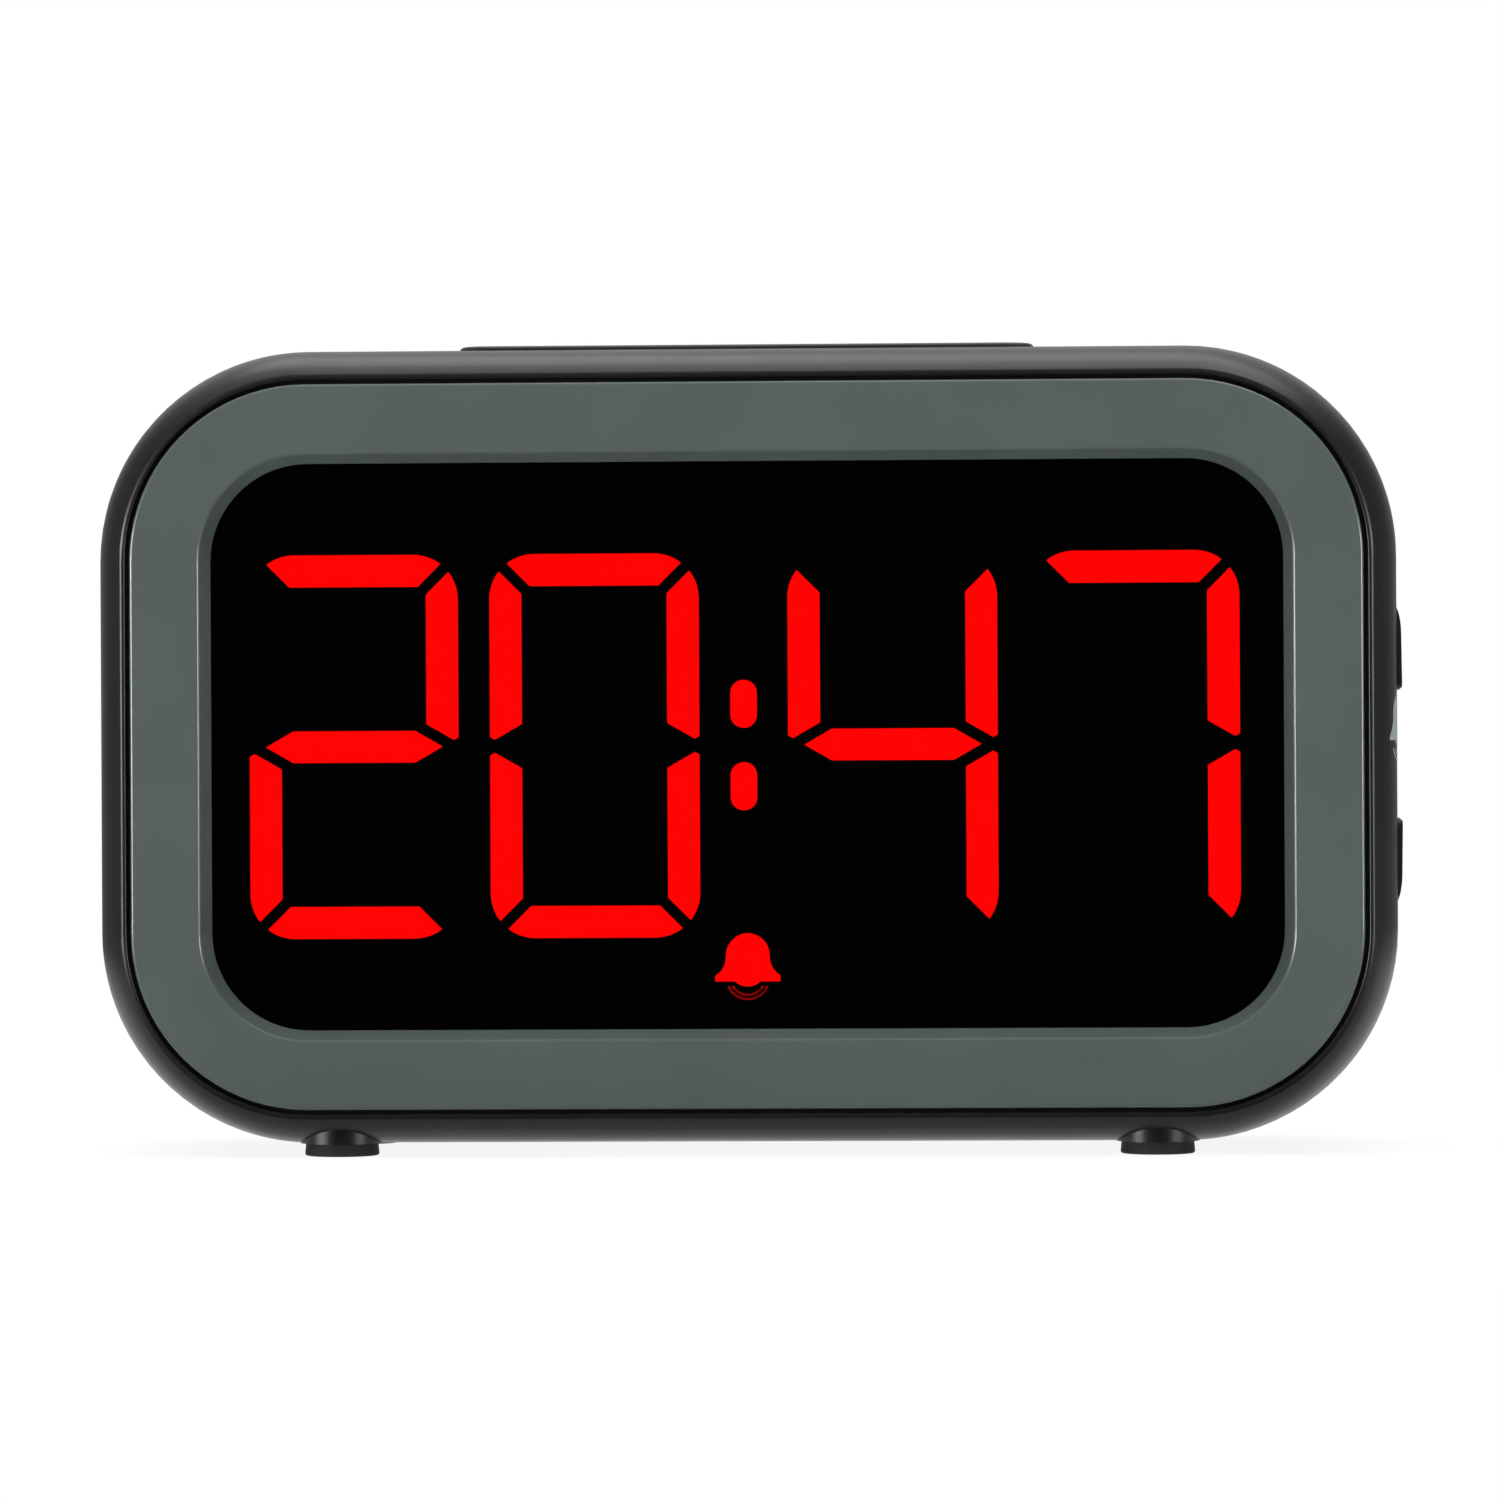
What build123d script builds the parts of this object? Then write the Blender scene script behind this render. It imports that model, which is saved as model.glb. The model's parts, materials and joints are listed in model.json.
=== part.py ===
from build123d import *

import os
from math import atan, degrees, sqrt

# Digital LED desk clock. The dial faces -Y, +X is to the viewer's right and +Z is up.
# The origin is on the table, under the middle of the housing. Lengths are in millimetres.

# Housing
body_width = 154.4
body_height = 94.4
body_depth = 42.0
corner_share = 0.2659
wall = 2.2
front_round = 8.0
rear_round = 9.0
front_depth_share = 0.5714
parting_bevel = 0.3
lip_inset = 3.2
lip_land = 0.5
lip_crease = 0.6
lip_edge = 0.25
front_wall = 1.6
tongue_length = 2.0
tongue_wall = 1.2
tongue_gap = 0.2

# Feet
foot_stand = 1.5
foot_seat_depth = 0.8
foot_radius = 4.45
foot_top_radius = 4.25
foot_edge = 0.25
foot_gap = 0.1
foot_boss_radius = 5.0
foot_share = 0.3148

# Front frame and window
frame_proud = 0.3
frame_gap = 0.5
frame_band = 8.25
frame_slope = 1.05
frame_thickness = 1.6
frame_edge = 0.4
collar_wall = 1.0
collar_gap = 0.2
peg_radius = 1.0
peg_gap = 0.1
peg_end = 0.4
peg_spread_share = 0.45
gasket_thickness = 0.4
window_thickness = 1.8
window_lap = 2.0
window_gap = 0.1

# Digits, colon and bell of the display
digit_width_share = 0.1954
digit_height_share = 0.678
digit_round = 5.35
stroke = 3.77
mitre_gap = 1.4
mitre_angle = 45
waist_gap = 1.4
waist_angle = 30
waist_apex = 0.54
band_reach_share = 3.6
digit_near_share = 0.1393
digit_far_share = 0.3646
digit_shift = -0.35
colon_width = 3.1
colon_height = 5.7
colon_rise = 4.9
bell_drop_share = 0.4169
bell_half = 3.85
bell_rim = 0.68
bell_dome = 2.58
bell_dome_rise = 3.1
bell_flare_x = 2.86
bell_flare_rise = 1.75
clapper_half = 1.52
clapper_drop = 0.61
arc_line = 0.2
arc_drop = 0.68
inner_arc_half = 1.72
inner_arc_sag = 0.95
outer_arc_half = 2.29
outer_arc_sag = 1.44
segment_depth = 2.5
fit_gap = 0.05
block_depth = 8.0
block_lap = 0.8
stake_radius = 1.0
stake_inset = 5.0
stake_end = 0.6
stake_gap = 0.1
led_side = 1.6
led_height = 0.8

# Boards
board_thickness = 1.6
board_edge = 0.4
key_board_thickness = 1.2
post_radius = 3.8
post_bite = 0.5
post_floor = 2.5
post_gap = 0.4
boss_radius = 2.8
boss_gap = 0.6
display_boss_share = 0.311
main_side_margin = 16.0
main_end_margin = 12.0
main_round = 3.0
main_boss_inset = 6.0
key_boss_radius = 2.4
key_boss_margin = 0.3

# Screws
housing_screw_radius = 1.4
housing_screw_length = 11.0
housing_head_radius = 2.5
well_gap = 0.3
board_screw_radius = 1.0
board_screw_length = 6.0
board_head_radius = 2.0
key_screw_length = 4.5
head_height = 1.4
cross_length_share = 1.3
cross_width = 0.6
cross_depth = 0.8
screw_gap = 0.05
hole_gap = 0.15
bore_end = 0.5

# Push keys and their switches
key_travel = 0.5
key_gap = 0.25
key_flange = 1.0
key_flange_gap = 0.2
key_lap = 1.0
key_stem = 0.7
key_stem_radius = 1.5
switch_side = 6.0
switch_round = 0.5
switch_height = 3.5
plunger_radius = 1.7
plunger_gap = 0.1
plunger_hold = 1.0
plunger_proud = 0.8
plunger_float = 0.2

# Snooze bar on top
snooze_length_share = 0.4456
snooze_width = 10.0
snooze_corner = 3.5
snooze_proud = 0.6
snooze_edge = 0.6
snooze_set = 5.6
snooze_stem_share = 0.2907

# Alarm keys on the right side
side_key_length = 9.9
side_key_width = 5.2
side_key_corner = 1.4
side_key_proud = 0.66
side_key_tail = 0.05
side_key_bevel = 0.35
side_key_fall = 3.0
side_key_shoulder_share = 0.85
alarm_upper_share = 0.1176
alarm_lower_share = 0.1483

# Rear keys
rear_key_radius = 3.6
rear_key_proud = 0.5
rear_key_edge = 0.4
rear_key_stem = 2.5
rear_key_rise_share = 0.303
set_key_share = 0.2034
mode_key_share = 0.3559

# Power inlet
jack_drop_share = 0.3939
jack_side = 9.0
jack_round = 0.6
jack_nose_radius = 4.0
jack_nose_gap = 0.2
jack_recess = 0.4
jack_bore_radius = 2.85
jack_floor = 0.8
jack_pin_radius = 1.0
jack_pin_set = 0.6
jack_pin_edge = 0.3

# Sounder and sound holes
sounder_x_share = 0.2797
sounder_drop_share = 0.1364
sounder_radius = 7.0
sounder_height = 5.5
sounder_port_radius = 1.2
sounder_port_depth = 1.0
sound_hole_radius = 0.8
sound_ring = 2.7
sound_ring_holes = 6

# Back-up cell and its turn-lock cap
cell_x_share = 0.3051
cell_drop_share = 0.0909
cell_radius = 10.0
cell_thickness = 3.2
cell_step = 0.25
cell_step_inset = 1.2
cell_edge = 0.25
cell_float = 0.3
cell_gap = 0.25
contact_thickness = 0.3
contact_width = 4.0
contact_length = 12.0
contact_gap = 0.02
contact_slot_gap = 0.2
cup_wall = 1.4
cup_floor = 1.4
cup_gap = 0.5
collar_ring = 1.1
collar_drop = 0.4
cap_radius = 13.5
cap_gap = 0.3
cap_thickness = 1.8
cap_edge = 0.3
cap_turn = 50
cap_skirt_wall = 2.0
lug_count = 3
lug_length = 1.7
lug_width = 5.0
lug_bite = 1.0
lug_thickness = 1.2
lug_gap = 0.15
notch_gap = 0.4
coin_slot_length = 15.0
coin_slot_width = 2.0
coin_slot_depth = 1.0

# Parts on the front of the main board
chip_x_share = 0.0678
chip_rise_share = 0.0606
chip_side = 12.0
chip_height = 1.6
crystal_x_share = -0.0593
crystal_rise_share = 0.2121
crystal_length = 8.0
crystal_width = 3.6
crystal_height = 2.8
capacitor_x_share = 0.2542
capacitor_pitch = 12.0
capacitor_drop_share = 0.303
capacitor_radius = 4.0
capacitor_height_share = 0.592
capacitor_edge = 0.5
regulator_x_share = 0.0847
regulator_drop_share = 0.303
regulator_length = 6.6
regulator_width = 6.0
regulator_height = 2.3

# Flat cables
socket_height_share = 0.263
socket_width = 5.0
cable_width = 18.0
cable_thickness = 0.6
cable_bend_share = 0.69
cable_x_share = -0.2034
cable_upper_share = 0.303
cable_lower_share = 0.1212
key_cable_width = 5.0
key_cable_radius = 1.0
top_cable_x_share = 0.378
top_cable_inset = 1.0
top_cable_drop = 2.6
top_cable_back_share = 0.5755
top_cable_rise_share = 0.3939
side_cable_inset = 1.2
side_cable_reach = 2.4

# Stations through the depth, from the dial to the back
face_y = -body_depth / 2
lip_y = face_y + frame_proud
crest_y = lip_y + sqrt(front_round**2 - (front_round - lip_inset) ** 2)
seat_y = face_y + frame_thickness
inner_y = seat_y + front_wall
window_y = inner_y + gasket_thickness
block_y = window_y + window_thickness + window_gap
display_y = block_y + block_depth
display_back_y = display_y + board_thickness
parting_y = face_y + front_depth_share * body_depth
rear_y = body_depth / 2
rear_inner_y = rear_y - wall
rear_crest_y = rear_y - rear_round
key_drop = key_flange_gap + key_flange + key_stem + plunger_proud + switch_height
rear_key_drop = key_flange_gap + key_flange + rear_key_stem + plunger_proud + switch_height
main_back_y = rear_inner_y - rear_key_drop
main_front_y = main_back_y - board_thickness
snooze_y = crest_y + snooze_set
side_key_y = block_y + block_depth / 2

# Heights and widths of the housing
corner_radius = corner_share * body_height
foot_x = foot_share * body_width
centre_height = foot_stand + body_height / 2
top_z = foot_stand + body_height
side_x = body_width / 2
cavity_width = body_width - 2 * wall
cavity_height = body_height - 2 * wall
cavity_radius = corner_radius - wall
cavity_top_z = top_z - wall
cavity_side_x = side_x - wall

# Outlines of the frame, its opening and the window
frame_inset = lip_inset + lip_land + frame_gap
opening_inset = frame_inset + frame_band
back_inset = opening_inset + frame_slope
frame_taper = degrees(atan(frame_slope / (window_y - face_y)))
collar_inset = back_inset - collar_wall
hole_inset = collar_inset - collar_gap
window_inset = hole_inset - window_lap
window_width = body_width - 2 * back_inset
window_height = body_height - 2 * back_inset
peg_inset = (frame_inset + hole_inset - window_lap) / 2
peg_x = body_width / 2 - peg_inset
peg_z = body_height / 2 - peg_inset
peg_spread_x = peg_spread_share * body_width / 2
peg_spread_z = peg_spread_share * body_height / 2

# Screw posts in the four corners and bosses of the boards
post_reach = (cavity_radius - post_radius + post_bite) / sqrt(2)
post_x = cavity_width / 2 - cavity_radius + post_reach
post_z = cavity_height / 2 - cavity_radius + post_reach
display_boss_x = display_boss_share * body_width
display_boss_rise = body_height / 2 - window_inset + boss_gap + boss_radius
main_width = cavity_width - 2 * main_side_margin
main_height = cavity_height - 2 * main_end_margin
main_boss_x = main_width / 2 - main_boss_inset
main_boss_z = main_height / 2 - main_boss_inset
key_board_end = key_boss_radius + key_boss_margin
snooze_length = snooze_length_share * body_width
snooze_stem_x = snooze_stem_share * snooze_length
alarm_upper_rise = alarm_upper_share * body_height
alarm_lower_rise = -alarm_lower_share * body_height
top_boss_x = snooze_length / 2 + key_lap + key_board_end
side_boss_reach = side_key_length / 2 + key_lap + key_board_end
side_boss_upper = alarm_upper_rise + side_boss_reach
side_boss_lower = alarm_lower_rise - side_boss_reach

# Display block
digit_width = digit_width_share * window_width
digit_height = digit_height_share * window_height
digit_near = digit_near_share * window_width
digit_far = digit_far_share * window_width
bell_drop = bell_drop_share * window_height
counter_width = digit_width - 2 * stroke
counter_height = (digit_height - 3 * stroke) / 2
counter_rise = (counter_height + stroke) / 2
band_reach = band_reach_share * stroke
block_width = window_width + 2 * block_lap
block_height = window_height + 2 * block_lap
stake_x = block_width / 2 - stake_inset
stake_z = block_height / 2 - stake_inset
display_board_width = cavity_width - 2 * (key_flange_gap + key_flange + key_travel + board_edge)
display_board_height = block_height + 2 * board_edge
display_tab_width = 2 * (boss_radius + board_edge)
display_tab_span = 2 * (display_boss_rise + boss_radius + board_edge)
side_board_width = block_depth - 2 * board_edge

# Stations of the cell under its cap
cap_inner_y = rear_y - cap_thickness
cell_back_y = cap_inner_y - cell_float
cell_front_y = cell_back_y - cell_thickness
cup_floor_y = cell_front_y - contact_thickness
cup_front_y = cup_floor_y - cup_floor
lug_back_y = rear_inner_y - lug_gap
lug_front_y = lug_back_y - lug_thickness
lug_radius = cap_radius + lug_length
lug_middle = cap_radius + (lug_length - lug_bite) / 2
cup_radius = lug_radius + cup_gap
negative_tail_x = (contact_length - contact_thickness) / 2
positive_x = cell_radius + contact_gap + contact_thickness / 2

# Places on the back, as seen from behind
rear_key_rise = rear_key_rise_share * main_height
set_key_spot = (-set_key_share * main_width, rear_key_rise)
mode_key_spot = (-mode_key_share * main_width, rear_key_rise)
jack_spot = (0, -jack_drop_share * main_height)
sounder_spot = (-sounder_x_share * main_width, -sounder_drop_share * main_height)
cell_x = cell_x_share * main_width
cell_rise = -cell_drop_share * main_height
cell_spot = (cell_x, cell_rise)
negative_tail_spot = (cell_x + negative_tail_x, cell_rise)
positive_spot = (cell_x + positive_x, cell_rise)

# Places on the front of the main board and the room in front of it
chip_spot = (chip_x_share * main_width, chip_rise_share * main_height)
crystal_spot = (crystal_x_share * main_width, crystal_rise_share * main_height)
regulator_spot = (regulator_x_share * main_width, -regulator_drop_share * main_height)
capacitor_x = capacitor_x_share * main_width
capacitor_rise = -capacitor_drop_share * main_height
capacitor_spots = [
    (capacitor_x - capacitor_pitch / 2, capacitor_rise),
    (capacitor_x + capacitor_pitch / 2, capacitor_rise),
]
board_space = main_front_y - display_back_y
capacitor_height = capacitor_height_share * board_space
socket_height = socket_height_share * board_space
cable_x = cable_x_share * main_width
cable_upper_rise = cable_upper_share * main_height
cable_lower_rise = cable_lower_share * main_height
top_cable_x = top_cable_x_share * snooze_length

os.makedirs("parts", exist_ok=True)


def facing(y):
    """Plane parallel to the dial, centred on it, looking out of the front."""
    return Plane(origin=(0, y, centre_height), x_dir=(1, 0, 0), z_dir=(0, -1, 0))


def behind(y):
    """Plane parallel to the back, as seen from behind: its x runs towards -X."""
    return Plane(origin=(0, y, centre_height), x_dir=(-1, 0, 0), z_dir=(0, 1, 0))


def beside(x):
    """Plane parallel to the right side: its x runs back and its y runs up."""
    return Plane(origin=(x, 0, centre_height), x_dir=(0, 1, 0), z_dir=(1, 0, 0))


def corners(x, z):
    """The four points at plus and minus x and z."""
    return [(-x, -z), (x, -z), (-x, z), (x, z)]


def outline(inset, mode=Mode.ADD):
    """The housing's rounded outline, drawn in by an even inset."""
    RectangleRounded(
        body_width - 2 * inset,
        body_height - 2 * inset,
        corner_radius - inset,
        mode=mode,
    )


def save(piece, name):
    """Name a finished piece and write it."""
    piece.label = name
    export_step(piece, f"parts/{name}.step")


# Front housing: block with a rounded front edge, cut off at the lip
with BuildPart() as front_housing:
    with BuildSketch(facing(parting_y)):
        outline(0)
    extrude(amount=parting_y - crest_y + front_round)
    fillet(front_housing.faces().sort_by(Axis.Y)[0].edges(), front_round)
    split(bisect_by=facing(lip_y), keep=Keep.BOTTOM)
    with BuildSketch(facing(parting_y)):
        outline(wall)
    extrude(amount=parting_y - inner_y, mode=Mode.SUBTRACT)
    with BuildSketch(facing(seat_y)):
        outline(frame_inset - frame_gap)
    extrude(amount=seat_y - lip_y, mode=Mode.SUBTRACT)
    lip_faces = front_housing.faces().filter_by(Axis.Y).sort_by(Axis.Y)
    chamfer(lip_faces[-1].outer_wire().edges(), parting_bevel)
    fillet(lip_faces[0].outer_wire().edges(), lip_crease)
    lip_face = front_housing.faces().filter_by(Axis.Y).sort_by(Axis.Y)[0]
    fillet(lip_face.inner_wires()[0].edges(), lip_edge)
    with BuildSketch(facing(inner_y)):
        outline(hole_inset)
        with Locations(*corners(peg_x, peg_spread_z), *corners(peg_spread_x, peg_z)):
            Circle(peg_radius + peg_gap)
    extrude(amount=front_wall, mode=Mode.SUBTRACT)
    # Round bosses under the front edge, each with a seat for a rubber foot
    with BuildSketch(Plane.XY.offset(foot_stand)):
        with Locations((-foot_x, crest_y), (foot_x, crest_y)):
            Circle(foot_boss_radius)
    extrude(amount=wall)
    with BuildSketch(Plane.XY.offset(foot_stand)):
        with Locations((-foot_x, crest_y), (foot_x, crest_y)):
            Circle(foot_top_radius + foot_gap)
    extrude(amount=foot_seat_depth, mode=Mode.SUBTRACT)
    # Openings for the snooze bar and the alarm keys
    with BuildSketch(Plane.XY.offset(top_z)):
        with Locations((0, snooze_y)):
            RectangleRounded(
                snooze_length + 2 * key_gap,
                snooze_width + 2 * key_gap,
                snooze_corner + key_gap,
            )
    extrude(amount=-wall, mode=Mode.SUBTRACT)
    with BuildSketch(beside(side_x)):
        with Locations((side_key_y, alarm_upper_rise), (side_key_y, alarm_lower_rise)):
            RectangleRounded(
                side_key_width + 2 * key_gap,
                side_key_length + 2 * key_gap,
                side_key_corner + key_gap,
            )
    extrude(amount=-wall, mode=Mode.SUBTRACT)
    # Posts for the housing screws and bosses for the display board
    with BuildSketch(facing(inner_y)):
        with Locations(*corners(post_x, post_z)):
            Circle(post_radius)
    extrude(amount=-(parting_y - inner_y))
    with BuildSketch(facing(parting_y)):
        with Locations(*corners(post_x, post_z)):
            Circle(housing_screw_radius + screw_gap)
    extrude(amount=housing_screw_length - post_floor + bore_end, mode=Mode.SUBTRACT)
    with BuildSketch(facing(inner_y)):
        with Locations(*corners(display_boss_x, display_boss_rise)):
            Circle(boss_radius)
    extrude(amount=-(display_y - inner_y))
    with BuildSketch(facing(display_y)):
        with Locations(*corners(display_boss_x, display_boss_rise)):
            Circle(board_screw_radius + screw_gap)
    extrude(amount=board_screw_length - board_thickness + bore_end, mode=Mode.SUBTRACT)
    # Bosses for the two key boards, standing on the top wall and on the right wall
    with BuildSketch(Plane.XY.offset(cavity_top_z)):
        with Locations((-top_boss_x, snooze_y), (top_boss_x, snooze_y)):
            Circle(key_boss_radius)
    extrude(amount=-key_drop)
    with BuildSketch(Plane.XY.offset(cavity_top_z - key_drop)):
        with Locations((-top_boss_x, snooze_y), (top_boss_x, snooze_y)):
            Circle(board_screw_radius + screw_gap)
    extrude(amount=key_screw_length - key_board_thickness + bore_end, mode=Mode.SUBTRACT)
    with BuildSketch(beside(cavity_side_x)):
        with Locations((side_key_y, side_boss_upper), (side_key_y, side_boss_lower)):
            Circle(key_boss_radius)
    extrude(amount=-key_drop)
    with BuildSketch(beside(cavity_side_x - key_drop)):
        with Locations((side_key_y, side_boss_upper), (side_key_y, side_boss_lower)):
            Circle(board_screw_radius + screw_gap)
    extrude(amount=key_screw_length - key_board_thickness + bore_end, mode=Mode.SUBTRACT)
save(front_housing.part, "front_housing")

# Front frame: flat band with a collar whose inner side slopes in towards the window
with BuildPart() as front_frame:
    with BuildSketch(facing(seat_y)):
        outline(frame_inset)
    extrude(amount=frame_thickness)
    fillet(front_frame.faces().sort_by(Axis.Y)[0].edges(), frame_edge)
    with BuildSketch(facing(seat_y)):
        outline(collar_inset)
    extrude(amount=-(window_y - seat_y))
    with BuildSketch(facing(face_y)):
        outline(opening_inset)
    extrude(amount=-(window_y - face_y), taper=frame_taper, mode=Mode.SUBTRACT)
    fillet(front_frame.faces().sort_by(Axis.Y)[0].inner_wires()[0].edges(), frame_edge)
    with BuildSketch(facing(seat_y)):
        with Locations(*corners(peg_x, peg_spread_z), *corners(peg_spread_x, peg_z)):
            Circle(peg_radius)
    extrude(amount=-(front_wall + peg_end))
save(front_frame.part, "front_frame")

with BuildPart() as window_gasket:
    with BuildSketch(facing(inner_y)):
        outline(window_inset)
        outline(hole_inset, mode=Mode.SUBTRACT)
    extrude(amount=-gasket_thickness)
save(window_gasket.part, "window_gasket")

with BuildPart() as display_window:
    with BuildSketch(facing(window_y)):
        outline(window_inset)
    extrude(amount=-window_thickness)
save(display_window.part, "display_window")


def digit(grow):
    """Seven segments: a rounded eight cut by mitred corners and crossed gaps at the waist."""
    with BuildSketch() as eight:
        RectangleRounded(digit_width + 2 * grow, digit_height + 2 * grow, digit_round + grow)
        with Locations((0, counter_rise), (0, -counter_rise)):
            Rectangle(counter_width - 2 * grow, counter_height - 2 * grow, mode=Mode.SUBTRACT)
        for side in (-1, 1):
            for level in (-1, 1):
                with Locations((side * digit_width / 2, level * digit_height / 2)):
                    Rectangle(
                        band_reach,
                        mitre_gap - 2 * grow,
                        rotation=mitre_angle * side * level,
                        mode=Mode.SUBTRACT,
                    )
            with Locations((side * (digit_width / 2 - waist_apex), 0)):
                for turn in (-waist_angle, waist_angle):
                    Rectangle(
                        band_reach,
                        waist_gap - 2 * grow,
                        rotation=turn,
                        mode=Mode.SUBTRACT,
                    )
    return eight.sketch


def colon(grow):
    """Two upright dots with round ends."""
    with BuildSketch() as dots:
        with Locations((digit_shift, colon_rise), (digit_shift, -colon_rise)):
            SlotOverall(colon_height + 2 * grow, colon_width + 2 * grow, rotation=90)
    return dots.sketch


def bell(grow):
    """Bell with a clapper and two sound arcs under it."""
    with BuildSketch() as shape:
        with BuildLine():
            base = Polyline(
                (-clapper_half, 0), (-bell_half, 0), (-bell_half, bell_rim)
            )
            flare = ThreePointArc(
                base @ 1,
                (-bell_flare_x, bell_flare_rise),
                (-bell_dome, bell_dome_rise),
            )
            ThreePointArc(
                flare @ 1,
                (0, bell_dome_rise + bell_dome),
                (bell_dome, bell_dome_rise),
            )
            mirror(flare, about=Plane.YZ)
            mirror(base, about=Plane.YZ)
            ThreePointArc((clapper_half, 0), (0, -clapper_drop), (-clapper_half, 0))
        make_face()
        for half, sag in ((inner_arc_half, inner_arc_sag), (outer_arc_half, outer_arc_sag)):
            with BuildLine(mode=Mode.PRIVATE) as sound:
                ThreePointArc((-half, -arc_drop), (0, -arc_drop - sag), (half, -arc_drop))
            SlotArc(sound.edge(), arc_line)
        if grow > 0:
            offset(amount=grow)
    return shape.sketch


# Digit block: black reflector with one light well behind each segment
digit_centres = [digit_shift + reach for reach in (-digit_far, -digit_near, digit_near, digit_far)]
with BuildPart() as digit_block:
    with BuildSketch(facing(block_y)):
        outline(back_inset - block_lap)
        for centre in digit_centres:
            with Locations((centre, 0)):
                add(digit(fit_gap), mode=Mode.SUBTRACT)
        add(colon(fit_gap), mode=Mode.SUBTRACT)
        with Locations((0, -bell_drop)):
            add(bell(fit_gap), mode=Mode.SUBTRACT)
    extrude(amount=-block_depth)
    with BuildSketch(facing(display_y)):
        with Locations(*corners(stake_x, stake_z)):
            Circle(stake_radius)
    extrude(amount=-(board_thickness + stake_end))
save(digit_block.part, "digit_block")

# Segment faces by their usual letters, counted from the bottom row to the top
rows = digit(0).faces().group_by(Axis.Y)
lower_left, lower_right = rows[1].sort_by(Axis.X)
upper_left, upper_right = rows[3].sort_by(Axis.X)
segments = {
    "a": rows[4][0],
    "b": upper_right,
    "c": lower_right,
    "d": rows[0][0],
    "e": lower_left,
    "f": upper_left,
    "g": rows[2][0],
}
shown = (
    ("hour_tens", "abdeg"),
    ("hour_units", "abcdef"),
    ("minute_tens", "bcfg"),
    ("minute_units", "abc"),
)

# Light pieces of the four digits: the lit ones and the dark ones of each
for (digit_name, lit), centre in zip(shown, digit_centres):
    dark = [letter for letter in segments if letter not in lit]
    for state, letters in (("lit", lit), ("unlit", dark)):
        with BuildPart() as light:
            with BuildSketch(facing(block_y)):
                with Locations((centre, 0)):
                    add([segments[letter] for letter in letters])
            extrude(amount=-segment_depth)
        save(light.part, f"{digit_name}_{state}")

with BuildPart() as colon_lights:
    with BuildSketch(facing(block_y)):
        add(colon(0))
    extrude(amount=-segment_depth)
save(colon_lights.part, "colon_lights")

with BuildPart() as bell_light:
    with BuildSketch(facing(block_y)):
        with Locations((0, -bell_drop)):
            add(bell(0))
    extrude(amount=-segment_depth)
save(bell_light.part, "bell_light")

# One LED chip at the bottom of each light well
led_spots = [
    (digit_shift, colon_rise),
    (digit_shift, -colon_rise),
    (0, bell_dome_rise - bell_drop),
]
for centre in digit_centres:
    led_spots += [(centre + face.center().X, face.center().Y) for face in segments.values()]
with BuildPart() as segment_leds:
    with BuildSketch(facing(display_y)):
        with Locations(*led_spots):
            Rectangle(led_side, led_side)
    extrude(amount=led_height)
save(segment_leds.part, "segment_leds")

with BuildPart() as display_board:
    with BuildSketch(facing(display_y)):
        RectangleRounded(display_board_width, display_board_height, cavity_radius)
        with Locations((-display_boss_x, 0), (display_boss_x, 0)):
            Rectangle(display_tab_width, display_tab_span)
        with Locations(*corners(display_boss_x, display_boss_rise)):
            Circle(board_screw_radius + hole_gap, mode=Mode.SUBTRACT)
        with Locations(*corners(stake_x, stake_z)):
            Circle(stake_radius + stake_gap, mode=Mode.SUBTRACT)
    extrude(amount=-board_thickness)
save(display_board.part, "display_board")


def screws(seat, spots, head_radius, shank_radius, shank_length):
    """Cross-head screws whose heads stand on the seat plane."""
    with BuildPart() as group:
        with BuildSketch(seat):
            with Locations(*spots):
                Circle(head_radius)
        extrude(amount=head_height)
        with BuildSketch(seat):
            with Locations(*spots):
                Circle(shank_radius)
        extrude(amount=-shank_length)
        with BuildSketch(seat.offset(head_height)):
            with Locations(*spots):
                Rectangle(cross_length_share * head_radius, cross_width)
                Rectangle(cross_width, cross_length_share * head_radius)
        extrude(amount=-cross_depth, mode=Mode.SUBTRACT)
    return group.part


save(
    screws(
        behind(display_back_y),
        corners(display_boss_x, display_boss_rise),
        board_head_radius,
        board_screw_radius,
        board_screw_length,
    ),
    "display_board_screws",
)


def switch_bodies(seat, spots):
    """Push-switch bodies standing on a board, each with a bore for its plunger."""
    with BuildPart() as group:
        with BuildSketch(seat):
            with Locations(*spots):
                RectangleRounded(switch_side, switch_side, switch_round)
        extrude(amount=switch_height)
        with BuildSketch(seat.offset(switch_height)):
            with Locations(*spots):
                Circle(plunger_radius + plunger_gap)
        extrude(amount=-(plunger_hold + key_travel + plunger_float), mode=Mode.SUBTRACT)
    return group.part


def plungers(seat, spots):
    """Plungers of the push switches, up to the stems of their keys."""
    with BuildPart() as group:
        with BuildSketch(seat.offset(switch_height - plunger_hold)):
            with Locations(*spots):
                Circle(plunger_radius)
        extrude(amount=plunger_hold + plunger_proud)
    return group.part


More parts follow.
